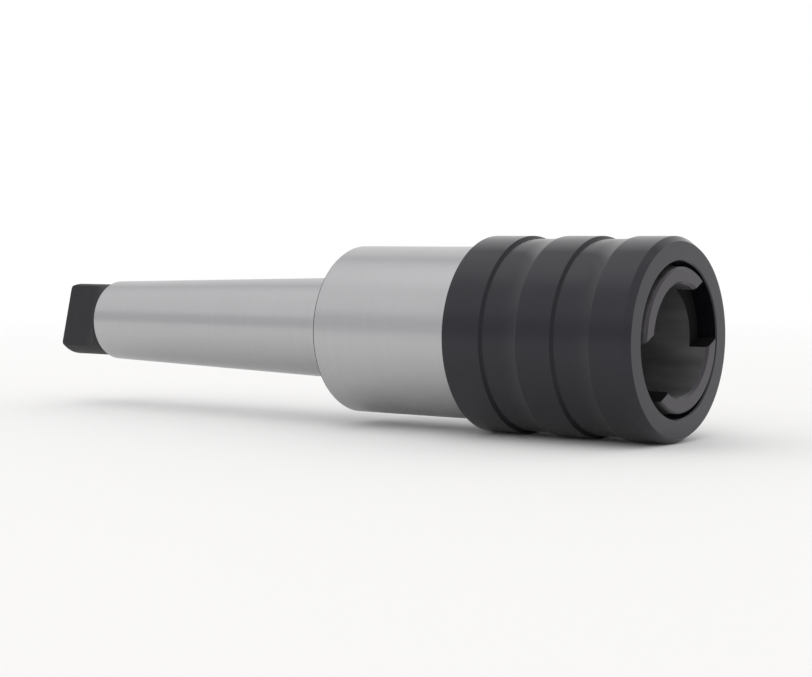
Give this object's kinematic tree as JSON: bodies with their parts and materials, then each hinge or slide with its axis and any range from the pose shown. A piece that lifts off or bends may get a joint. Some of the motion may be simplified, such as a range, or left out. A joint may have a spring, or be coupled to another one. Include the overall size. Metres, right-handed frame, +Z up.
{
  "type": "quick-change tapping chuck",
  "caption": "Quick-change tapping chuck: taper shank with tang, round body, floating spindle with a ball-lock adapter bore and drive slots, and a grooved release sleeve.",
  "frame": {"origin": "centre of the gauge plane of the Morse taper, on the axis", "axes": "+X along the axis towards the nose, +Z up, the tang at -X"},
  "size_m": [0.2337, 0.0572, 0.0572],
  "materials": {
    "ground_steel": "cylindrically ground and polished steel",
    "black_oxide_steel": "turned steel, black oxide with oil",
    "nose_steel": "hardened steel, black oxide, rubbed grey at its faces",
    "plug_steel": "turned steel, black oxide",
    "black_bolt_steel": "black oxide bolt steel",
    "hardened_washer_steel": "hardened and ground steel",
    "spring_steel": "phosphated spring steel",
    "bearing_steel": "polished bearing steel",
    "bronze": "turned tin bronze",
    "felt": "pressed wool felt"
  },
  "bodies": {
    "housing": {"shank_housing": "ground_steel", "guide_bolt": "black_bolt_steel", "bolt_lock_washer": "spring_steel", "bolt_head_washer": "hardened_washer_steel", "float_spring_seat": "hardened_washer_steel", "track_stop_ring": "spring_steel", "float_spring": "spring_steel", "pull_back_spring": "spring_steel"},
    "spindle": {"nose_spindle": "nose_steel", "spindle_bush": "bronze", "cavity_plug": "plug_steel", "cavity_plug_ring": "spring_steel", "spring_seat_ring": "spring_steel", "sleeve_spring_seat": "hardened_washer_steel", "sleeve_stop_ring": "spring_steel", "sleeve_spring": "spring_steel"},
    "sleeve": {"release_sleeve": "black_oxide_steel", "lock_ring": "hardened_washer_steel", "lock_ring_retainer": "spring_steel", "sleeve_wiper": "felt"},
    "drive_ball_rows": {"drive_balls": "bearing_steel"},
    "lock_ball_1": {"locking_ball_1": "bearing_steel"},
    "lock_ball_2": {"locking_ball_2": "bearing_steel"},
    "lock_ball_3": {"locking_ball_3": "bearing_steel"}
  },
  "joints": [
    {"name": "spindle_float", "type": "slide", "parent": "housing", "child": "spindle", "axis": [1, 0, 0], "range_m": [-0.006, 0.008], "stiffness_N_per_m": 9000, "deforming": ["float_spring", "pull_back_spring"]},
    {"name": "drive_ball_roll", "type": "slide", "parent": "housing", "child": "drive_ball_rows", "axis": [1, 0, 0], "range_m": [-0.003, 0.004]},
    {"name": "sleeve_release", "type": "slide", "parent": "spindle", "child": "sleeve", "axis": [1, 0, 0], "range_m": [-0.006, 0], "stiffness_N_per_m": 2500, "springref_m": 0.006, "deforming": ["sleeve_spring"]},
    {"name": "locking_ball_1_travel", "type": "slide", "parent": "spindle", "child": "lock_ball_1", "axis": [0, 0.4431, -0.8965], "range_m": [0, 0.00185]},
    {"name": "locking_ball_2_travel", "type": "slide", "parent": "spindle", "child": "lock_ball_2", "axis": [0, 0.5548, 0.832], "range_m": [0, 0.00185]},
    {"name": "locking_ball_3_travel", "type": "slide", "parent": "spindle", "child": "lock_ball_3", "axis": [0, -0.9979, 0.0645], "range_m": [0, 0.00185]}
  ],
  "couplings": [
    {"joint": "drive_ball_roll", "follows": "spindle_float", "ratio": 0.5},
    {"joint": "locking_ball_1_travel", "follows": "sleeve_release", "ratio": -0.3083},
    {"joint": "locking_ball_2_travel", "follows": "sleeve_release", "ratio": -0.3083},
    {"joint": "locking_ball_3_travel", "follows": "sleeve_release", "ratio": -0.3083}
  ]
}
